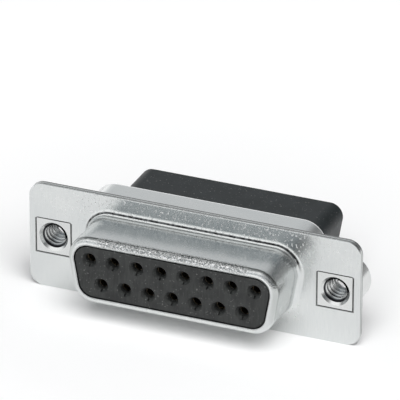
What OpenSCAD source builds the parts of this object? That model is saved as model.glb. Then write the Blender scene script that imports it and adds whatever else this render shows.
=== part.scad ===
// 15-way D-subminiature socket connector with threaded inserts, for crimped wires.
// Lengths are in millimetres. X runs along the flange, +Z is up and the mating side faces -Y.
// The origin is the centre of the flange's front face.

/* [Contacts] */
// Contacts in the upper row; the lower row has one fewer
top_row_count = 8; // [5:1:13]
// Distance between neighbouring contacts in a row
contact_pitch = 2.77; // [2.6:0.01:3.2]
// Distance between the two rows
row_pitch = 2.84; // [2.7:0.01:3]
// Bore that takes the mating pin
socket_bore_d = 1.06; // [1.02:0.01:1.16]
// Depth of that bore
socket_bore_depth = 5.7; // [5:0.1:6.5]
// Outside of the spring tube
tube_d = 1.56; // [1.4:0.02:1.64]
// Width of the slits that part the spring tube into two tines
tine_slit_w = 0.2; // [0.1:0.02:0.3]
// Length of those slits
tine_slit_len = 4.2; // [2:0.1:5]
// Collar that is trapped between the two insulators
contact_collar_d = 2.3; // [2.24:0.01:2.4]
// Length of that collar
contact_collar_len = 0.9; // [0.5:0.1:1.4]
// Outside of the crimp barrel
barrel_d = 1.7; // [1.5:0.02:1.9]
// Bore of the crimp barrel
barrel_bore_d = 1.2; // [0.9:0.02:1.3]
// Depth of that bore
barrel_bore_depth = 4; // [2:0.1:5]
// How far the barrel's end lies inside the rear block
barrel_setback = 1.4; // [0.4:0.1:2.5]

/* [Metal sheets] */
// Thickness of both drawn sheets
sheet_t = 0.4; // [0.3:0.02:0.46]
// Height of the flange
flange_h = 12.55; // [12.2:0.05:16]
// Radius of the flange's corners
flange_corner_r = 1.6; // [1:0.1:4]
// How far the flange runs past each end of the nose
flange_ear = 7.24; // [7.1:0.02:10]
// Lean of the ends of every D outline
d_angle = 10; // [4:0.5:14]

/* [Nose] */
// From the outermost contact's axis to the end of the nose
nose_end = 2.635; // [2.5:0.005:3]
// Height of the nose
nose_h = 7.9; // [7.7:0.05:8.3]
// Radius of the nose's corners
nose_corner_r = 2.6; // [2.2:0.1:3]
// Length of the nose in front of the flange
nose_len = 6.12; // [5.5:0.02:6.6]
// Outer radius of the rolled-in front lip
lip_r = 0.8; // [0.6:0.05:0.9]
// Radius of the hollow between nose and flange
nose_root_r = 0.8; // [0.4:0.05:1]

/* [Rear collar] */
// How far the rear collar stands outside the nose, all round
collar_margin = 1.41; // [1.2:0.01:1.45]
// Radius of the rear collar's corners
collar_corner_r = 2.7; // [2.4:0.1:4]
// From the flange's front face to the back of the collar
collar_depth = 5.3; // [4.6:0.05:6.5]
// Outer radius of the bend at the back of the collar
collar_bend_r = 0.6; // [0.5:0.02:0.8]
// Radius of the hollow between the collar and the flange
collar_root_r = 0.3; // [0.1:0.05:0.35]

/* [Insulators] */
// How far the insulator's face lies behind the lip
face_setback = 0.06; // [0.05:0.01:0.3]
// Gap between the edge of that face and the lip around it
face_gap = 0.17; // [0.05:0.01:0.25]
// Gap around the insulators inside the sheets
insulator_gap = 0.05; // [0.02:0.01:0.1]
// Depth at which the two insulators meet, behind the flange's front face
split_depth = 2.1; // [1.8:0.05:2.6]
// Width of the funnel's mouth in front of each contact
funnel_d = 1.7; // [1.4:0.02:1.9]
// Depth of the funnel
funnel_depth = 0.35; // [0.2:0.05:0.5]
// Hole at the bottom of the funnel
entry_d = 1.18; // [1.16:0.01:1.3]
// Thickness of the wall in front of the contact
entry_wall = 1; // [0.7:0.05:1.4]
// Width of the notch below each entry hole
notch_w = 0.2; // [0.1:0.02:0.4]
// Depth of that notch
notch_depth = 0.45; // [0.2:0.05:0.6]
// Gap around the contacts in their cavities
contact_gap = 0.04; // [0.02:0.01:0.06]
// Cavity for the crimp barrel
barrel_cavity_d = 2.04; // [1.96:0.02:2.1]
// From the outermost contact's axis to the end of the rear block
block_end = 2.42; // [1.9:0.02:2.8]
// Height of the rear block
block_h = 6.24; // [6:0.02:7.2]
// Radius of the rear block's corners
block_corner_r = 1.5; // [1:0.1:2.6]
// From the flange's front face to the back of the rear block
block_depth = 13.9; // [12:0.1:17]

/* [Threaded inserts] */
// From the end of the nose to the insert's axis
insert_offset = 4.33; // [4.2:0.01:4.6]
// Outside of the round body
insert_d = 5.4; // [5:0.05:5.6]
// From the flange's front face to the back of the insert
insert_depth = 4.1; // [2.5:0.05:8]
// Side of the square neck
neck_side = 4.05; // [3.7:0.05:4.1]
// Gap between the neck and its square holes
neck_gap = 0.07; // [0.03:0.01:0.12]
// Outer diameter of the thread, 4-40 UNC
thread_d = 2.84; // [2.5:0.02:3]
// Bevel around the back of the insert's body
body_bevel = 0.2; // [0.05:0.05:0.4]
// Widening of the thread's mouths
mouth_bevel = 0.3; // [0.1:0.05:0.5]

/* [Hidden] */
$fn = 96;
bottom_row_count = top_row_count - 1;
contact_count = top_row_count + bottom_row_count;
row_half_w = (top_row_count - 1) * contact_pitch / 2;

// A D outline is [width, height, corner radius], widest at the top.
nose_d = [2 * (row_half_w + nose_end), nose_h, nose_corner_r];
collar_d = [nose_d[0] + 2 * collar_margin, nose_h + 2 * collar_margin, collar_corner_r];
block_d = [2 * (row_half_w + block_end), block_h, block_corner_r];
neck_d = grown(nose_d, -sheet_t - insulator_gap);
face_d = grown(nose_d, -lip_r - face_gap);
seat_d = grown(collar_d, -sheet_t - insulator_gap);

flange_w = nose_d[0] + 2 * flange_ear;
insert_x = nose_d[0] / 2 + insert_offset;
sheets_t = 2 * sheet_t;
collar_bend_inner_r = collar_bend_r - sheet_t;

// Heights above the flange's front face, towards the mating side
face_z = nose_len - face_setback;
neck_z = nose_len - lip_r - insulator_gap;
contact_tip_z = face_z - entry_wall - contact_gap;
collar_front_z = contact_collar_len / 2 - split_depth;
collar_back_z = collar_front_z - contact_collar_len;
barrel_end_z = barrel_setback - block_depth;
seat_back_z = sheet_t - collar_depth;

tube_cavity_d = tube_d + 2 * contact_gap;
collar_cavity_d = contact_collar_d + 2 * contact_gap;
// Overshoot of every cut past the surface it opens
cut = 0.5;
// How far a D's straight sides lie inside the tangents of its arcs, so that they cross the arcs
side_inset = 0.0005;
// Flat rim with which a swept form runs into the flat stretches of its sheet
rim = 0.1;
// Chords in each corner of a D and in each bend of a sheet
corner_steps = 10;
bend_steps = 6;

function contact_name(i) = str("contact_", i < 10 ? "0" : "", i);

// Contacts are counted from the left of the upper row, then from the left of the lower row.
function contact_x(i) = i <= top_row_count
    ? (i - (top_row_count + 1) / 2) * contact_pitch
    : (i - top_row_count - (bottom_row_count + 1) / 2) * contact_pitch;
function contact_y(i) = i <= top_row_count ? row_pitch / 2 : -row_pitch / 2;

// ---------------------------------------------------------------- D outlines

// The same D, larger all round by d
function grown(d_size, d) = [d_size[0] + 2 * d, d_size[1] + 2 * d, d_size[2] + d];

// Centres of the corner arcs, anticlockwise from the upper right
function centres(d_size, lean) =
    let (x = d_size[0] / 2 - d_size[2], y = d_size[1] / 2 - d_size[2], dx = 2 * y * tan(lean))
    [[x, y], [-x, y], [dx - x, -y], [x - dx, -y]];

// Direction in which each corner arc starts, and the angle that it turns through
function arc_start(i, lean) = [-lean, 90, 180 + lean, 270][i];
function arc_turn(i, lean) = i < 2 ? 90 + lean : 90 - lean;
function arc_point(c, r, a) = [c[0] + r * cos(a), c[1] + r * sin(a)];

module d_outline(d_size, lean = d_angle) {
    c = centres(d_size, lean);
    r = d_size[2];
    polygon([
        for (i = [0 : 3], a = [arc_start(i, lean), arc_start(i, lean) + arc_turn(i, lean)])
            arc_point(c[i], r - side_inset, a)
    ]);
    for (p = c)
        translate(p)
            circle(r);
}

module d_prism(d_size, z_low, z_high) {
    translate([0, 0, z_low])
        linear_extrude(z_high - z_low)
            d_outline(d_size);
}

// Sweeps a section around a D. The section runs anticlockwise in radius and height, and its radii
// are measured from the centres of the corner arcs.
module d_sweep(d_size, section) {
    c = centres(d_size, d_angle);
    stations = [
        for (i = [0 : 3], j = [0 : corner_steps])
            [c[i], arc_start(i, d_angle) + arc_turn(i, d_angle) * j / corner_steps]
    ];
    n = len(section);
    m = len(stations);
    polyhedron(
        points = [
            for (s = stations, p = section)
                [s[0][0] + p[0] * cos(s[1]), s[0][1] + p[0] * sin(s[1]), p[1]]
        ],
        faces = [
            for (k = [0 : m - 1], j = [0 : n - 1])
                [k * n + j, k * n + (j + 1) % n, (k + 1) % m * n + (j + 1) % n, (k + 1) % m * n + j]
        ]
    );
}

// Points of an arc in a section, around p from one angle to the other
function arc_points(p, r, from, to) =
    [for (j = [0 : bend_steps]) arc_point(p, r, from + (to - from) * j / bend_steps)];

// ---------------------------------------------------------------- Sheets

// Stands a part modelled face up, mating side towards +Z, on the long edge of its flange
module upright() {
    rotate([90, 0, 0])
        children();
}

// A flat flange between two heights, with its square holes and an opening for a drawn form
module flange_plate(opening, z_low, z_high) {
    difference() {
        translate([0, 0, z_low])
            linear_extrude(z_high - z_low)
                d_outline([flange_w, flange_h, flange_corner_r], 0);
        d_prism(opening, z_low - cut, z_high + cut);
        for (side = [-1, 1])
            translate([side * insert_x, 0, 0])
                cube([neck_side + 2 * neck_gap, neck_side + 2 * neck_gap, 20], center = true);
    }
}

// Section of the drawn nose: flat rim, hollow root, wall and lip rolled inwards
nose_section = let (
    root = [nose_corner_r + nose_root_r, nose_root_r],
    lip = [nose_corner_r - lip_r, nose_len - lip_r]
) concat(
    [[root[0] + rim, 0]],
    arc_points(root, nose_root_r, 270, 180),
    arc_points(lip, lip_r, 0, 90),
    arc_points(lip, lip_r - sheet_t, 90, 0),
    arc_points(root, nose_root_r + sheet_t, 180, 270),
    [[root[0] + rim, -sheet_t]]
);

module front_shell() {
    color("gainsboro")
        upright() {
            flange_plate(grown(nose_d, nose_root_r + rim / 2), -sheet_t, 0);
            d_sweep(nose_d, nose_section);
        }
}

// Section of the rear collar: flat rim, hollow root, wall, bend and flat rim around the rear block
collar_section = let (
    root = [collar_corner_r + collar_root_r, -sheets_t - collar_root_r],
    back = [collar_corner_r - collar_bend_r, collar_bend_r - collar_depth]
) concat(
    [[root[0] + rim, -sheet_t]],
    arc_points(root, collar_root_r + sheet_t, 90, 180),
    arc_points(back, collar_bend_inner_r, 0, -90),
    [[back[0] - rim, seat_back_z], [back[0] - rim, -collar_depth]],
    arc_points(back, collar_bend_r, -90, 0),
    arc_points(root, collar_root_r, 180, 90),
    [[root[0] + rim, -sheets_t]]
);

module rear_shell() {
    color("gainsboro")
        upright() {
            flange_plate(grown(collar_d, collar_root_r + rim / 2), -sheets_t, -sheet_t);
            d_sweep(collar_d, collar_section);
            difference() {
                d_prism(grown(collar_d, -collar_bend_r - rim / 2), -collar_depth, seat_back_z);
                d_prism(grown(block_d, insulator_gap), -collar_depth - cut, seat_back_z + cut);
            }
        }
}

// ---------------------------------------------------------------- Insulators

// One contact's way through the front insulator: funnel, entry hole, notch, cavity and collar seat
module front_cavity() {
    funnel_z = face_z - funnel_depth;
    entry_z = face_z - entry_wall;
    translate([0, 0, funnel_z])
        cylinder(h = funnel_depth, d1 = entry_d, d2 = funnel_d);
    translate([0, 0, face_z])
        cylinder(h = cut, d = funnel_d);
    translate([0, 0, entry_z - cut])
        cylinder(h = funnel_z - entry_z + cut, d = entry_d);
    translate([-notch_w / 2, -funnel_d / 2, face_z - notch_depth])
        cube([notch_w, funnel_d / 2, notch_depth + cut]);
    translate([0, 0, -split_depth - cut])
        cylinder(h = entry_z + split_depth + cut, d = tube_cavity_d);
    translate([0, 0, -split_depth - cut])
        cylinder(h = collar_front_z + split_depth + cut, d = collar_cavity_d);
}

module front_insulator() {
    color("#3a3d3e")
        upright()
            difference() {
                union() {
                    d_prism(face_d, neck_z, face_z);
                    d_prism(neck_d, -sheet_t, neck_z);
                    d_prism(seat_d, -split_depth, -sheet_t);
                }
                for (i = [1 : contact_count])
                    translate([contact_x(i), contact_y(i), 0])
                        front_cavity();
            }
}

module rear_insulator() {
    color("#2f3335")
        upright()
            difference() {
                union() {
                    d_prism(seat_d, seat_back_z + collar_bend_inner_r, -split_depth);
                    d_prism(grown(seat_d, -collar_bend_inner_r), seat_back_z, -split_depth);
                    d_prism(block_d, -block_depth, seat_back_z + cut);
                }
                for (i = [1 : contact_count])
                    translate([contact_x(i), contact_y(i), 0]) {
                        translate([0, 0, -block_depth - cut])
                            cylinder(h = block_depth + cut, d = barrel_cavity_d);
                        translate([0, 0, collar_back_z])
                            cylinder(h = -collar_back_z, d = collar_cavity_d);
                    }
            }
}

// ---------------------------------------------------------------- Contacts

module contact(i) {
    tube_bevel = (tube_d - socket_bore_d) / 4;
    color("goldenrod")
        upright()
            translate([contact_x(i), contact_y(i), 0])
                difference() {
                    rotate_extrude()
                        polygon([
                            [0, barrel_end_z], [barrel_d / 2, barrel_end_z],
                            [barrel_d / 2, collar_back_z], [contact_collar_d / 2, collar_back_z],
                            [contact_collar_d / 2, collar_front_z], [tube_d / 2, collar_front_z],
                            [tube_d / 2, contact_tip_z - tube_bevel],
                            [tube_d / 2 - tube_bevel, contact_tip_z], [0, contact_tip_z]
                        ]);
                    translate([0, 0, contact_tip_z - socket_bore_depth])
                        cylinder(h = socket_bore_depth + cut, d = socket_bore_d);
                    translate([0, 0, barrel_end_z - cut])
                        cylinder(h = barrel_bore_depth + cut, d = barrel_bore_d);
                    translate([-tine_slit_w / 2, -tube_d, contact_tip_z - tine_slit_len])
                        cube([tine_slit_w, 2 * tube_d, tine_slit_len + cut]);
                }
}

// ---------------------------------------------------------------- Threaded inserts

// A round body behind the flange, with a square neck through both sheets, flush in front
module threaded_insert(side) {
    color("silver")
        upright()
            translate([side * insert_x, 0, 0])
                difference() {
                    union() {
                        rotate_extrude()
                            polygon([
                                [0, -insert_depth], [insert_d / 2 - body_bevel, -insert_depth],
                                [insert_d / 2, body_bevel - insert_depth],
                                [insert_d / 2, -sheets_t], [0, -sheets_t]
                            ]);
                        translate([-neck_side / 2, -neck_side / 2, -sheets_t])
                            cube([neck_side, neck_side, sheets_t]);
                    }
                    translate([0, 0, -insert_depth - cut])
                        cylinder(h = insert_depth + 2 * cut, d = thread_d);
                    translate([0, 0, -mouth_bevel])
                        cylinder(h = mouth_bevel, d1 = thread_d, d2 = thread_d + 2 * mouth_bevel);
                    translate([0, 0, -insert_depth])
                        cylinder(h = mouth_bevel, d1 = thread_d + 2 * mouth_bevel, d2 = thread_d);
                }
}

front_shell();
rear_shell();
front_insulator();
rear_insulator();
threaded_insert(-1);  // threaded_insert_left
threaded_insert(1);  // threaded_insert_right
for (i = [1 : contact_count])
    contact(i);
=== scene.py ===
"""Looks of a 15-way D-sub socket connector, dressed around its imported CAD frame."""

import math

import bmesh
import bpy
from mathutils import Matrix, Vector

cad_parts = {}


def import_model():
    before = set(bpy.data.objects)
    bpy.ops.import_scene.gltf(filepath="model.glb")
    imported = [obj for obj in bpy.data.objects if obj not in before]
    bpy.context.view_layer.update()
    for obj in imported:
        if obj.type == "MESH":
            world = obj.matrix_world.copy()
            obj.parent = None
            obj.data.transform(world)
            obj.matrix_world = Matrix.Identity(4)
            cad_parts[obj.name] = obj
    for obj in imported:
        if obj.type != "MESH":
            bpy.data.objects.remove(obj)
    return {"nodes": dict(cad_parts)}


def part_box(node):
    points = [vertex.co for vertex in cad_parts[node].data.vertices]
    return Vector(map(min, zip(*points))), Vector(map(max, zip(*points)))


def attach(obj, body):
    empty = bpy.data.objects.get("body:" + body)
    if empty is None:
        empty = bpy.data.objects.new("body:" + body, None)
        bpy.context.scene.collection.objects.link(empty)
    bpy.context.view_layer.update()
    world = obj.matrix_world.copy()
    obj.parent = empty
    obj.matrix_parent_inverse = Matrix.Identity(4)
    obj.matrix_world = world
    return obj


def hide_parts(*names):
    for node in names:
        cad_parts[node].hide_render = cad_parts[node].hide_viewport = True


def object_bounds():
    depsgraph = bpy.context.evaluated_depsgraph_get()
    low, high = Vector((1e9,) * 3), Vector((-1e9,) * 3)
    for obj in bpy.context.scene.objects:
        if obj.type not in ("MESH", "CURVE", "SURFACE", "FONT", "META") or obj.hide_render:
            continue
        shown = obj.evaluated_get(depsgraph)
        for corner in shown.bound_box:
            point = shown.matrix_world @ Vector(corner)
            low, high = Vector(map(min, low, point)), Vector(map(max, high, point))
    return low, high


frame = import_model()
CAD_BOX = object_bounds()

MM = 0.001

# ---------------------------------------------------------------- sizes, in millimetres

# A D outline is (width, height, corner radius), widest at the top, with its ends leaning by LEAN.
LEAN = math.radians(10)
SHEET = 0.4
NOSE_R, COLLAR_R = 2.6, 2.7
ROOT_R, LIP_R = 0.8, 0.8
COLLAR_ROOT_R, COLLAR_BEND_R = 0.3, 0.6
BLOCK_GAP = 0.05
FLANGE_R = 1.6
NECK_GAP = 0.07
EDGE_R = 0.08
MOUTH_EDGE_R = 0.06


def size_of(node):
    """Lowest and highest corner of a CAD node, in millimetres."""
    low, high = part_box(node)
    return low / MM, high / MM


SHEET_LOW, SHEET_HIGH = size_of("front_shell")
FILLING_LOW, FILLING_HIGH = size_of("front_insulator")
INSERT_LOW, INSERT_HIGH = size_of("threaded_insert_right")

FLANGE = (SHEET_HIGH.x - SHEET_LOW.x, SHEET_HIGH.z - SHEET_LOW.z, FLANGE_R)
NOSE_LEN = -SHEET_LOW.y
COLLAR_DEPTH = size_of("rear_shell")[1].y
INSERT_X = (INSERT_LOW.x + INSERT_HIGH.x) / 2
INSERT_DEPTH = INSERT_HIGH.y

# The collar lies around the front insulator, and the nose is smaller by an even margin.
COLLAR_MARGIN = 1.41
COLLAR = (
    FILLING_HIGH.x - FILLING_LOW.x + 2 * (SHEET + BLOCK_GAP),
    FILLING_HIGH.z - FILLING_LOW.z + 2 * (SHEET + BLOCK_GAP),
    COLLAR_R,
)
NOSE = (COLLAR[0] - 2 * COLLAR_MARGIN, COLLAR[1] - 2 * COLLAR_MARGIN, NOSE_R)
NOSE_STRAIGHT = NOSE[0] / 2 - NOSE_R
MOUTH_Y = -NOSE_LEN
LIP_Y = MOUTH_Y + LIP_R
BLOCK = (24.23, 6.24, 1.5)
NECK_SIDE = 4.05
HOLE_SIDE = NECK_SIDE + 2 * NECK_GAP
HOLE_R = 0.15
THREAD_R, THREAD_TIP_R, THREAD_PITCH = 1.42, 1.14, 0.635
COUNTERSINK_R = 1.72
BORE_END_Y = 1.1

# Mesh attribute that is 1 on the inner side of a sheet, which the plating darkens as painted shade.
INSIDE = "inside"

# ---------------------------------------------------------------- studio

FILL_LIGHT = 0.09
FILL_COLOUR = (0.9, 0.95, 1.0, 1)

FLOOR_WHITE = (0.95, 0.95, 0.95, 1)
# The floor's faint glow grows into the backdrop's between two distances from the origin, in metres.
FLOOR_GLOW, BACKDROP_GLOW = 0.02, 0.16
BACKDROP_RISE = (22 * MM, 60 * MM)

TENT_LEVEL = 1.3
# Shades of the tent from the back horizon (0) over the top to the front horizon (1).
TENT_SHADES = [
    (0.0, (1.0, 1.0, 1.0)),
    (0.07, (1.0, 1.0, 1.0)),
    (0.12, (0.58, 0.59, 0.60)),
    (0.21, (0.52, 0.53, 0.54)),
    (0.27, (0.22, 0.23, 0.23)),
    (0.56, (0.16, 0.17, 0.17)),
    (0.60, (1.0, 1.0, 1.0)),
    (0.72, (1.0, 1.0, 1.0)),
    (0.77, (0.20, 0.23, 0.25)),
    (0.86, (0.31, 0.34, 0.36)),
    (0.89, (1.0, 1.0, 1.0)),
    (1.0, (1.0, 1.0, 1.0)),
]
# To the right the tent's level falls to this part of itself, between two places in metres.
TENT_RIGHT = 0.33
TENT_FALL = (0.1, 0.6)

# ---------------------------------------------------------------- material shades

PLATING = ((0.64, 0.66, 0.66, 1), (0.74, 0.75, 0.74, 1))
DRAW_LINE = (0.5, 0.53, 0.54, 1)
# The lip's two ends, painted darker as shade.
LIP_END_SHADE = (0.48, 0.50, 0.49, 1)
# The lip's grain: painted shade in its hollows, and painted sparkle highlights on its raised bits
# and on the flange's pits.
SKIN_SHADE = (0.47, 0.49, 0.49, 1)
SPARKLE_WHITE = (0.97, 0.97, 0.97, 1)
# Painted shade on the sheets' inner sides and square-hole walls, and in part on the torn rims.
CUT_EDGE_AND_SHADE = (0.03, 0.031, 0.03, 1)
FRONT_PLASTIC = ((0.014, 0.015, 0.015, 1), (0.030, 0.032, 0.031, 1))
REAR_PLASTIC = ((0.008, 0.011, 0.012, 1), (0.015, 0.019, 0.021, 1))
FIBRE_END = (0.35, 0.35, 0.34, 1)
CONTACT = ((0.32, 0.27, 0.18, 1), (0.46, 0.39, 0.27, 1))
# Painted shade deep in the contacts' bores.
BORE_SHADE = (0.03, 0.026, 0.02, 1)
TURNED_STEEL = ((0.62, 0.63, 0.63, 1), (0.74, 0.75, 0.74, 1))
# Painted shade in the thread roots.
THREAD_ROOT_SHADE = (0.035, 0.036, 0.04, 1)

# Where a look fades in or out along one axis, in millimetres.
NOSE_TOP_Z = (1.4, 2.6)
PIT_SPARKLE_Z = (2.0, 4.0)
PIT_SPARKLE_X = (13.0, 14.5)
ROOT_SHADE_Y = (1.4, 2.6)

# Painted shade lines along the nose's top, at the creases where it meets its root and its lip: (y
# in millimetres, width, shade).
CREASE_SHADE_LINES = [
    (-0.13, 0.13, (0.02, 0.02, 0.02, 1)),
    (LIP_Y - 0.2, 0.12, (0.08, 0.085, 0.08, 1)),
]

# ---------------------------------------------------------------- materials


class Nodes:
    """Short calls for building the node tree of one material or of the world."""

    def __init__(self, name, owners=bpy.data.materials, output="ShaderNodeOutputMaterial"):
        self.owner = owners.new(name)
        self.owner.use_nodes = True
        self.tree = self.owner.node_tree
        self.tree.nodes.clear()
        self.output = self.tree.nodes.new(output)
        self.coordinates = self.tree.nodes.new("ShaderNodeTexCoord").outputs["Object"]

    def add(self, kind, inputs=None, **settings):
        node = self.tree.nodes.new(kind)
        for key, value in settings.items():
            setattr(node, key, value)
        for key, value in (inputs or {}).items():
            if isinstance(value, bpy.types.NodeSocket):
                self.tree.links.new(value, node.inputs[key])
            else:
                node.inputs[key].default_value = value
        return node

    def math(self, operation, a, b=0.0):
        return self.add("ShaderNodeMath", {0: a, 1: b}, operation=operation).outputs[0]

    def product(self, first, *others):
        for other in others:
            first = self.math("MULTIPLY", first, other)
        return first

    def distance(self, a, b):
        """Length of a plane vector with these two coordinates."""
        squares = self.math("ADD", self.math("POWER", a, 2.0), self.math("POWER", b, 2.0))
        return self.math("SQRT", squares)

    def noise(self, per_mm, stretch=(1, 1, 1), detail=3.0):
        """Noise with this many features per millimetre, drawn out where stretch is below 1."""
        stretched = {"Vector": self.coordinates, "Scale": stretch}
        mapping = self.add("ShaderNodeMapping", stretched).outputs[0]
        look = {"Scale": per_mm / MM, "Detail": detail, "Roughness": 0.55}
        return self.add("ShaderNodeTexNoise", {"Vector": mapping, **look}).outputs["Fac"]

    def axis(self, name):
        """One coordinate of the object, in millimetres."""
        metres = self.add("ShaderNodeSeparateXYZ", {0: self.coordinates}).outputs[name]
        return self.math("DIVIDE", metres, MM)

    def inside(self):
        """1 on the inner side of a sheet, as the mesh marks it, which is darkened with painted
        shade.
        """
        return self.add("ShaderNodeAttribute", attribute_name=INSIDE).outputs["Fac"]

    def band(self, value, middle, width):
        """1 in a band of this width around the middle, with soft edges."""
        off = self.math("ABSOLUTE", self.math("SUBTRACT", value, middle))
        return self.remap(off, 0.35 * width, 0.65 * width, 1.0, 0.0)

    def remap(self, value, low, high, to_low=0.0, to_high=1.0):
        """Goes from to_low to to_high while the value goes from low to high, and then stays."""
        limits = {"From Min": low, "From Max": high, "To Min": to_low, "To Max": to_high}
        return self.add("ShaderNodeMapRange", {"Value": value, **limits}).outputs[0]

    def mix(self, factor, a, b):
        """The colour a where the factor is 0, and b where it is 1."""
        colours = {"Factor": factor, "A": a, "B": b}
        return self.add("ShaderNodeMix", colours, data_type="RGBA").outputs["Result"]

    def bump(self, height, strength, distance, normal=None):
        """A bumped normal, where a height of 1 stands this distance proud, in millimetres."""
        inputs = {"Height": height, "Strength": strength, "Distance": distance * MM}
        if normal is not None:
            inputs["Normal"] = normal
        return self.add("ShaderNodeBump", inputs).outputs[0]

    def finish(self, colour, roughness, normal, metallic=0.0, specular=0.5):
        shader = self.add(
            "ShaderNodeBsdfPrincipled",
            {
                "Base Color": colour,
                "Roughness": roughness,
                "Normal": normal,
                "Metallic": metallic,
                "Specular IOR Level": specular,
            },
        )
        return self.surface(shader)

    def ramp(self, value, stops):
        """Colour by a value from 0 to 1, with straight steps between (position, colour) stops."""
        node = self.add("ShaderNodeValToRGB", {"Fac": value})
        elements = node.color_ramp.elements
        while len(elements) < len(stops):
            elements.new(0.5)
        for element, (position, colour) in zip(elements, stops):
            element.position = position
            element.color = (*colour, 1)
        return node.outputs[0]

    def background_rays(self):
        """1 for the camera's, reflected and transmitted rays, and 0 for those that light things."""
        path = self.tree.nodes.new("ShaderNodeLightPath").outputs
        seen = self.math("MAXIMUM", path["Is Camera Ray"], path["Is Transmission Ray"])
        return self.math("MAXIMUM", seen, path["Is Glossy Ray"])

    def mix_shaders(self, factor, a, b):
        return self.add("ShaderNodeMixShader", {0: factor, 1: a.outputs[0], 2: b.outputs[0]})

    def surface(self, shader):
        self.tree.links.new(shader.outputs[0], self.output.inputs[0])
        return self.owner


def plated_sheet():
    """Bright tin plating on drawn steel, with painted shade in creases, holes, joints and inside,
    and painted sparkles.
    """
    n = Nodes("plated_sheet")
    cloud = n.noise(0.35)
    lines = n.noise(9.0, stretch=(1, 1, 0.06))
    grain = n.noise(14.0, detail=2.0)
    on_top = n.remap(n.axis("Z"), *NOSE_TOP_Z)
    pit_sparkles = flange_pit_sparkles(n)
    skin, shaded_ends = lip_zones(n, on_top)
    peel = n.remap(n.noise(5.5, detail=2.0), 0.44, 0.56)
    raised_sparkle = n.product(skin, peel)
    sunken_shade = n.product(skin, n.math("SUBTRACT", 1.0, peel))

    colour = n.mix(cloud, *PLATING)
    colour = n.mix(n.remap(lines, 0.35, 0.65, 0.0, 0.25), colour, DRAW_LINE)
    # Painted shade in the sunken grain, and painted sparkle highlights on the raised grain and the
    # pits.
    colour = n.mix(sunken_shade, colour, SKIN_SHADE)
    colour = n.mix(n.math("MAXIMUM", pit_sparkles, raised_sparkle), colour, SPARKLE_WHITE)
    # Painted shade on the lip's two ends.
    colour = n.mix(shaded_ends, colour, LIP_END_SHADE)
    patchy = n.remap(n.noise(2.5), 0.35, 0.6, 0.6, 1.0)
    # Painted shade along the nose's creases, broken up by noise.
    for middle_y, width, shade in CREASE_SHADE_LINES:
        mark = n.product(n.band(n.axis("Y"), middle_y, width), patchy, on_top)
        colour = n.mix(mark, colour, shade)
    # Painted shade on the inner sides, square-hole walls and joints, over the real torn edges.
    torn_and_hole_shade = n.product(cut_edges_and_hole_shade(n), n.remap(grain, 0.35, 0.6, 1.0, 0.6))
    colour = n.mix(n.math("MAXIMUM", torn_and_hole_shade, n.inside()), colour, CUT_EDGE_AND_SHADE)

    rough = n.math("ADD", n.remap(cloud, 0.3, 0.7, 0.15, 0.24), n.remap(grain, 0.3, 0.7, 0.0, 0.05))
    rough = n.math("ADD", rough, n.product(raised_sparkle, 0.16))
    rough = n.math("ADD", rough, n.product(pit_sparkles, 0.45))

    normal = n.bump(lines, 0.25, 0.012)
    normal = n.bump(grain, 0.25, 0.01, normal)
    normal = n.bump(pit_sparkles, 0.8, 0.04, normal)
    normal = n.bump(raised_sparkle, 1.0, 0.08, normal)
    return n.finish(colour, rough, normal, metallic=1.0)


def flange_pit_sparkles(n):
    """1 in small pits of the flange's front, nearly all of them in the strip above the nose; they
    are painted white as sparkle highlights.
    """
    pit_sparkles = n.remap(n.noise(4.0, stretch=(1, 1, 0.7), detail=1.0), 0.62, 0.65)
    on_front = n.band(n.axis("Y"), 0.0, 0.5)
    near_nose = n.remap(n.math("ABSOLUTE", n.axis("X")), *PIT_SPARKLE_X, 1.0, 0.15)
    above_nose = n.remap(n.axis("Z"), *PIT_SPARKLE_Z, 0.1, 1.0)
    return n.product(pit_sparkles, on_front, near_nose, above_nose)


def lip_zones(n, on_top):
    """Two masks on the lip: its grainy skin along the top, painted with sparkle highlights and
    shade, and its two ends, painted darker as shade.
    """
    depth = n.axis("Y")
    across = n.math("ABSOLUTE", n.axis("X"))
    lip = n.remap(depth, LIP_Y + 0.1, LIP_Y - 0.1)
    behind_mouth = n.remap(depth, MOUTH_Y + 0.015, MOUTH_Y + 0.04)
    along_top = n.remap(across, NOSE_STRAIGHT - 1.6, NOSE_STRAIGHT - 0.7, 1.0, 0.1)
    off_mouth = n.remap(depth, MOUTH_Y + 0.02, MOUTH_Y + 0.1, 0.0, 0.8)
    at_ends = n.remap(across, NOSE_STRAIGHT + 1.4, NOSE_STRAIGHT + 2.2)
    return n.product(lip, behind_mouth, on_top, along_top), n.product(lip, off_mouth, at_ends)


def cut_edges_and_hole_shade(n):
    """1 on the flanges' torn rims, partly real edge and partly painted shade of the joints, and as
    painted shade on the square holes' sides and bottom.
    """
    x = n.math("ABSOLUTE", n.axis("X"))
    z = n.axis("Z")
    height = n.math("ABSOLUTE", z)
    over_x = n.math("MAXIMUM", n.math("SUBTRACT", x, FLANGE[0] / 2 - FLANGE_R), 0.0)
    over_z = n.math("MAXIMUM", n.math("SUBTRACT", height, FLANGE[1] / 2 - FLANGE_R), 0.0)
    rim = n.remap(n.distance(over_x, over_z), FLANGE_R - 0.05, FLANGE_R - 0.02)
    in_sheet = n.math("MODULO", n.math("ADD", n.axis("Y"), SHEET), SHEET)
    torn = n.remap(in_sheet, 0.3 * SHEET, 0.45 * SHEET)
    beside = n.math("ABSOLUTE", n.math("SUBTRACT", x, INSERT_X))
    hole = HOLE_SIDE / 2
    rounded = hole + EDGE_R
    wall = n.remap(n.math("MAXIMUM", beside, height), rounded + 0.02, rounded + 0.06, 1.0, 0.0)
    below_top = n.remap(z, hole - 0.1, hole - 0.05, 1.0, 0.0)
    return n.math("MAXIMUM", n.product(rim, torn), n.product(wall, below_top))


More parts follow.
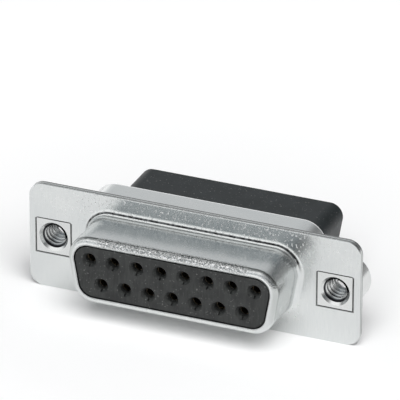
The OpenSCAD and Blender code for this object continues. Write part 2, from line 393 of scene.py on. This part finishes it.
def insulator(name, shades, roughness, specular):
    """Glass-filled thermoplastic: nearly black, with flow lines and a few pale fibre ends."""
    n = Nodes(name)
    cloud = n.noise(0.5)
    flow = n.noise(5.0, stretch=(1, 1, 0.12))
    fibres = n.remap(n.noise(6.0, detail=1.0), 0.70, 0.76, 0.0, 0.5)
    colour = n.mix(n.remap(n.math("ADD", cloud, flow), 0.8, 1.2), *shades)
    colour = n.mix(fibres, colour, FIBRE_END)
    rough = n.remap(flow, 0.3, 0.7, roughness - 0.05, roughness + 0.07)
    normal = n.bump(flow, 0.3, 0.015)
    normal = n.bump(fibres, 0.3, 0.015, normal)
    return n.finish(colour, rough, normal, specular=specular)


def contact_metal():
    """Copper alloy with a thin gold finish, darkened with painted shade at the blind end of the
    bore.
    """
    n = Nodes("contact_metal")
    cloud = n.noise(1.2)
    lines = n.noise(12.0, stretch=(1, 0.1, 1))
    colour = n.mix(cloud, *CONTACT)
    # Painted shade at the blind end of the bore.
    colour = n.mix(n.band(n.axis("Y"), BORE_END_Y, 1.6), colour, BORE_SHADE)
    normal = n.bump(lines, 0.3, 0.01)
    return n.finish(colour, n.remap(cloud, 0.3, 0.7, 0.28, 0.4), normal, metallic=1.0)


def insert_metal():
    """Nickel-plated turned steel, with fine turning marks and painted shade in the thread roots
    near the front.
    """
    n = Nodes("insert_metal")
    cloud = n.noise(0.8)
    turning = n.noise(10.0)
    beside = n.math("SUBTRACT", n.math("ABSOLUTE", n.axis("X")), INSERT_X)
    radius = n.distance(beside, n.axis("Z"))
    root = n.remap(radius, THREAD_TIP_R + 0.04, THREAD_TIP_R + 0.16)
    in_bore = n.remap(radius, THREAD_R + 0.01, THREAD_R + 0.03, 1.0, 0.0)
    near_front = n.remap(n.axis("Y"), *ROOT_SHADE_Y, 1.0, 0.1)
    colour = n.mix(cloud, *TURNED_STEEL)
    # Painted shade in the thread roots near the front of the bore.
    colour = n.mix(n.product(root, in_bore, near_front), colour, THREAD_ROOT_SHADE)
    normal = n.bump(turning, 0.2, 0.012)
    return n.finish(colour, n.remap(cloud, 0.3, 0.7, 0.18, 0.28), normal, metallic=1.0)


# ---------------------------------------------------------------- mesh building


def place(x, y, z):
    """From right, up and towards the mating side, in millimetres, to the frame's metres."""
    return Vector((x, -z, y)) * MM


def d_path(size, lean, steps=20, support=0.08):
    """Stations (arc centre's x and y, angle) around a D, or a rounded rectangle with no lean."""
    width, height, radius = size
    x, y = width / 2 - radius, height / 2 - radius
    dx = 2 * y * math.tan(lean)
    quarter = math.pi / 2
    corners = [
        ((x, y), -lean, quarter),
        ((-x, y), quarter, 2 * quarter + lean),
        ((dx - x, -y), 2 * quarter + lean, 3 * quarter),
        ((x - dx, -y), 3 * quarter, 4 * quarter - lean),
    ]
    path = []
    for i, (centre, start, end) in enumerate(corners):
        before = corners[i - 1][0]
        after = corners[(i + 1) % 4][0]
        path.append((*towards(centre, before, support), start))
        for j in range(steps + 1):
            path.append((*centre, start + (end - start) * j / steps))
        path.append((*towards(centre, after, support), end))
    return path


def towards(point, other, distance):
    """The point moved by a distance towards another one, but by a third of the way at most."""
    run = Vector(other) - Vector(point)
    return tuple(Vector(point) + run.normalized() * min(distance, run.length / 3))


def arc(centre, radius, start, end, steps=8):
    """Points of an arc in a profile, in degrees, with the ends included."""
    angles = [math.radians(start + (end - start) * j / steps) for j in range(steps + 1)]
    return [(centre[0] + radius * math.cos(a), centre[1] + radius * math.sin(a)) for a in angles]


def with_supports(profile, support=0.04):
    """The profile with a point near both ends of each long straight stretch, to keep it flat."""
    out = [profile[0]]
    for a, b in zip(profile, profile[1:]):
        if math.dist(a, b) > 6 * support:
            out += [towards(a, b, support), towards(b, a, support)]
        out.append(b)
    return out


def sweep(bm, path, profile, centre=(0, 0), inside=0.0):
    """Sweeps a profile of (radius, height) points along a closed path; returns its rings."""
    middle_x, middle_y = centre
    mark = bm.verts.layers.float.get(INSIDE) or bm.verts.layers.float.new(INSIDE)
    rings = [
        [
            bm.verts.new(place(middle_x + x + r * math.cos(a), middle_y + y + r * math.sin(a), z))
            for x, y, a in path
        ]
        for r, z in profile
    ]
    join(bm, rings)
    for ring in rings:
        for vert in ring:
            vert[mark] = inside
    return rings


def join(bm, rings):
    """Faces between neighbouring rings of one length."""
    for low, high in zip(rings, rings[1:]):
        for j in range(len(low)):
            bm.faces.new((low[j - 1], low[j], high[j], high[j - 1])).smooth = True


def fill(bm, rings):
    """Closes a flat face between an outer ring and the rings of its openings."""
    edges = []
    for ring in rings:
        edges += [bm.edges.get((ring[j], ring[j - 1])) for j in range(len(ring))]
    bmesh.ops.triangle_fill(bm, use_beauty=True, edges=edges, normal=(0, -1, 0))


def piece(name, bm, material):
    """Makes a finished mesh object out of bm, riding on the frame."""
    bmesh.ops.recalc_face_normals(bm, faces=bm.faces)
    mesh = bpy.data.meshes.new(name)
    bm.to_mesh(mesh)
    bm.free()
    mesh.materials.append(material)
    obj = bpy.data.objects.new(name, mesh)
    bpy.context.scene.collection.objects.link(obj)
    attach(obj, "root")
    return obj


# ---------------------------------------------------------------- sheets


def rounded_edge(radius, front, back, outwards):
    """Profile around a sheet's cut edge, from its front face to its back face."""
    middle = radius - EDGE_R if outwards else radius + EDGE_R
    side, end = (0, -90) if outwards else (180, 270)
    front_arc = arc((middle, front - EDGE_R), EDGE_R, 90, side, 4)
    return front_arc + arc((middle, back + EDGE_R), EDGE_R, side, end, 4)


def plate_rings(bm, front, back):
    """The outer edge and the two square holes of a flange sheet: (front rings, back rings)."""
    fronts, backs = [], []
    edge = sweep(bm, d_path(FLANGE, 0), with_supports(rounded_edge(FLANGE_R, front, back, True)))
    fronts.append(edge[0])
    backs.append(edge[-1])
    for x in (-INSERT_X, INSERT_X):
        path = d_path((HOLE_SIDE, HOLE_SIDE, HOLE_R), 0, steps=4)
        hole = sweep(bm, path, rounded_edge(HOLE_R, front, back, False), (x, 0))
        fronts.append(hole[0])
        backs.append(hole[-1])
    return fronts, backs


def front_shell(material):
    """Front sheet: flange, hollow root, drawn nose and rolled lip."""
    root = (NOSE_R + ROOT_R, ROOT_R)
    lip = (NOSE_R - LIP_R, NOSE_LEN - LIP_R)
    mouth = (lip[0] + MOUTH_EDGE_R, NOSE_LEN - MOUTH_EDGE_R)
    outside = arc(root, ROOT_R, 270, 180, 10) + arc(lip, LIP_R, 0, 86, 12)
    outside += arc(mouth, MOUTH_EDGE_R, 90, 180, 4)
    inside = arc(lip, LIP_R - SHEET, 90, 0, 8) + arc(root, ROOT_R + SHEET, 180, 270, 10)
    path = d_path(NOSE, LEAN)
    bm = bmesh.new()
    outer = sweep(bm, path, with_supports(outside))
    inner = sweep(bm, path, with_supports(inside), inside=1.0)
    join(bm, [outer[-1], inner[0]])
    fronts, backs = plate_rings(bm, 0, -SHEET)
    fill(bm, [*fronts, outer[0]])
    fill(bm, [*backs, inner[-1]])
    obj = piece("front_sheet", bm, material)
    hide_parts("front_shell")


def rear_shell(material):
    """Rear sheet: flange, hollow root, collar and the lip around the rear block."""
    root = (COLLAR_R + COLLAR_ROOT_R, -2 * SHEET - COLLAR_ROOT_R)
    back = (COLLAR_R - COLLAR_BEND_R, COLLAR_BEND_R - COLLAR_DEPTH)
    inner_r = COLLAR_BEND_R - SHEET
    outside = arc(root, COLLAR_ROOT_R, 90, 180) + arc(back, COLLAR_BEND_R, 0, -90)
    inside = arc(root, COLLAR_ROOT_R + SHEET, 90, 180) + arc(back, inner_r, 0, -90)
    bm = bmesh.new()
    path = d_path(COLLAR, LEAN)
    outer = sweep(bm, path, with_supports(outside))
    inner = sweep(bm, path, with_supports(inside))
    fronts, backs = plate_rings(bm, -SHEET, -2 * SHEET)
    fill(bm, [*fronts, inner[0]])
    fill(bm, [*backs, outer[0]])
    opening = (BLOCK[0] + 2 * BLOCK_GAP, BLOCK[1] + 2 * BLOCK_GAP, BLOCK[2] + BLOCK_GAP)
    edge = rounded_edge(opening[2], SHEET - COLLAR_DEPTH, -COLLAR_DEPTH, False)
    rim = sweep(bm, d_path(opening, LEAN), edge)
    fill(bm, [inner[-1], rim[0]])
    fill(bm, [outer[-1], rim[-1]])
    obj = piece("rear_sheet", bm, material)
    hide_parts("rear_shell")


# ---------------------------------------------------------------- threads


def thread(name, x, material):
    """The ridge of a 4-40 thread inside an insert, cut away by the countersinks at both ends."""
    steps_a_turn = 48
    # Half the ridge's width, at its foot in the wall and at its crest.
    foot, crest = 0.27, 0.06
    wall_r, thinnest = THREAD_R + 0.01, 0.001
    turns = (INSERT_DEPTH - 2 * foot) / THREAD_PITCH
    bm = bmesh.new()
    rings = []
    for i in range(int(turns * steps_a_turn) + 1):
        angle = 2 * math.pi * i / steps_a_turn
        depth = foot + THREAD_PITCH * i / steps_a_turn
        countersink = COUNTERSINK_R - min(depth, INSERT_DEPTH - depth)
        tip_r = min(max(THREAD_TIP_R, countersink), wall_r - thinnest)
        ring = []
        for r, z in ((wall_r, -foot), (tip_r, -crest), (tip_r, crest), (wall_r, foot)):
            point = place(x + r * math.cos(angle), r * math.sin(angle), z - depth)
            ring.append(bm.verts.new(point))
        rings.append(ring)
    for a, b in zip(rings, rings[1:]):
        for j in range(4):
            k = (j + 1) % 4
            bm.faces.new((a[j], a[k], b[k], b[j]))
    bm.faces.new(rings[0])
    bm.faces.new(reversed(rings[-1]))
    piece(name, bm, material)


# ---------------------------------------------------------------- scene


def camera():
    """A long lens at the photograph's viewing angle, with the object in the frame's lower half."""
    azimuth, elevation = math.radians(22.8), math.radians(26.8)
    distance = 0.6
    frame_width = 43.668 * MM
    right_of, above = 0.77 * MM, 6.97 * MM
    back = Vector((
        math.sin(azimuth) * math.cos(elevation),
        -math.cos(azimuth) * math.cos(elevation),
        math.sin(elevation),
    ))
    right = Vector((math.cos(azimuth), math.sin(azimuth), 0))
    up = back.cross(right)
    data = bpy.data.cameras.new("camera")
    data.sensor_width = 36
    data.lens = data.sensor_width * distance / frame_width
    data.clip_start, data.clip_end = 0.05, 5
    obj = bpy.data.objects.new("camera", data)
    obj.rotation_mode = "QUATERNION"
    obj.rotation_quaternion = (-back).to_track_quat("-Z", "Y")
    obj.location = right * right_of + up * above + back * distance
    bpy.context.scene.collection.objects.link(obj)
    bpy.context.scene.camera = obj


def lamp(name, location, target, size, power):
    """A rectangular softbox, aimed at a point; the tent stands for it in reflections."""
    data = bpy.data.lights.new(name, "AREA")
    data.shape = "RECTANGLE"
    data.size, data.size_y = size
    data.energy = power
    obj = bpy.data.objects.new(name, data)
    obj.location = Vector(location)
    obj.rotation_mode = "QUATERNION"
    obj.rotation_quaternion = (Vector(target) - obj.location).to_track_quat("-Z", "Y")
    obj.visible_glossy = False
    bpy.context.scene.collection.objects.link(obj)


def world():
    """A dim even surround for light, and white behind the object."""
    n = Nodes("surround", bpy.data.worlds, "ShaderNodeOutputWorld")
    fill = n.add("ShaderNodeBackground", {"Color": FILL_COLOUR, "Strength": FILL_LIGHT})
    white = n.add("ShaderNodeBackground", {"Color": (1, 1, 1, 1)})
    bpy.context.scene.world = n.surface(n.mix_shaders(n.background_rays(), fill, white))


def stage_mesh(name, mesh, material):
    """Adds a mesh that belongs to the studio and not to the object."""
    mesh.materials.append(material)
    obj = bpy.data.objects.new(name, mesh)
    bpy.context.scene.collection.objects.link(obj)
    return obj


def floor():
    """A white floor that keeps the object's shadow and turns into a white backdrop around it."""
    n = Nodes("floor")
    paint = n.add("ShaderNodeBsdfDiffuse", {"Color": FLOOR_WHITE})
    away = n.add("ShaderNodeVectorMath", {0: n.coordinates}, operation="LENGTH").outputs["Value"]
    level = n.remap(away, *BACKDROP_RISE, FLOOR_GLOW, BACKDROP_GLOW)
    glow = n.add("ShaderNodeEmission", {"Strength": n.product(n.background_rays(), level)})
    both = n.add("ShaderNodeAddShader", {0: paint.outputs[0], 1: glow.outputs[0]})
    half, z = 2.0, CAD_BOX[0].z
    mesh = bpy.data.meshes.new("floor")
    corners = [(-half, -half, z), (half, -half, z), (half, half, z), (-half, half, z)]
    mesh.from_pydata(corners, [], [(0, 1, 2, 3)])
    stage_mesh("floor", mesh, n.surface(both))


def tent():
    """A dome of pale and dark studio cards, seen only in reflections.

    Its shade runs from the back horizon over the top to the front horizon.
    """
    n = Nodes("tent")
    axes = n.add("ShaderNodeSeparateXYZ", {0: n.coordinates}).outputs
    turn = n.math("DIVIDE", n.math("ARCTAN2", axes["Z"], axes["Y"]), math.pi)
    shade = n.ramp(turn, TENT_SHADES)
    level = n.remap(axes["X"], *TENT_FALL, TENT_LEVEL, TENT_LEVEL * TENT_RIGHT)
    glow = n.add("ShaderNodeEmission", {"Color": shade, "Strength": level})
    bm = bmesh.new()
    radius, lowest = 1.6, -0.1
    bmesh.ops.create_icosphere(bm, subdivisions=5, radius=radius)
    below = [vert for vert in bm.verts if vert.co.z < lowest]
    bmesh.ops.delete(bm, geom=below, context="VERTS")
    mesh = bpy.data.meshes.new("tent")
    bm.to_mesh(mesh)
    bm.free()
    obj = stage_mesh("tent", mesh, n.surface(glow))
    obj.visible_camera = False
    obj.visible_diffuse = False
    obj.visible_transmission = False
    obj.visible_shadow = False


def dress(names, material):
    """Gives CAD nodes a material."""
    for name in names:
        obj = frame["nodes"][name]
        obj.data.materials.clear()
        obj.data.materials.append(material)


camera()
world()
floor()
tent()
lamp("overhead", location=(0.27, -0.48, 0.79), target=(0, 0, 0), size=(1.0, 0.9), power=13.4)

SHEET_METAL = plated_sheet()
INSERT_METAL = insert_metal()
front_shell(SHEET_METAL)
rear_shell(SHEET_METAL)
dress(["front_insulator"], insulator("front_plastic", FRONT_PLASTIC, roughness=0.5, specular=0.35))
dress(["rear_insulator"], insulator("rear_plastic", REAR_PLASTIC, roughness=0.4, specular=0.17))
dress([name for name in frame["nodes"] if name.startswith("contact_")], contact_metal())
dress(["threaded_insert_left", "threaded_insert_right"], INSERT_METAL)
thread("thread_left", -INSERT_X, INSERT_METAL)
thread("thread_right", INSERT_X, INSERT_METAL)

bpy.context.scene.view_settings.view_transform = "Standard"
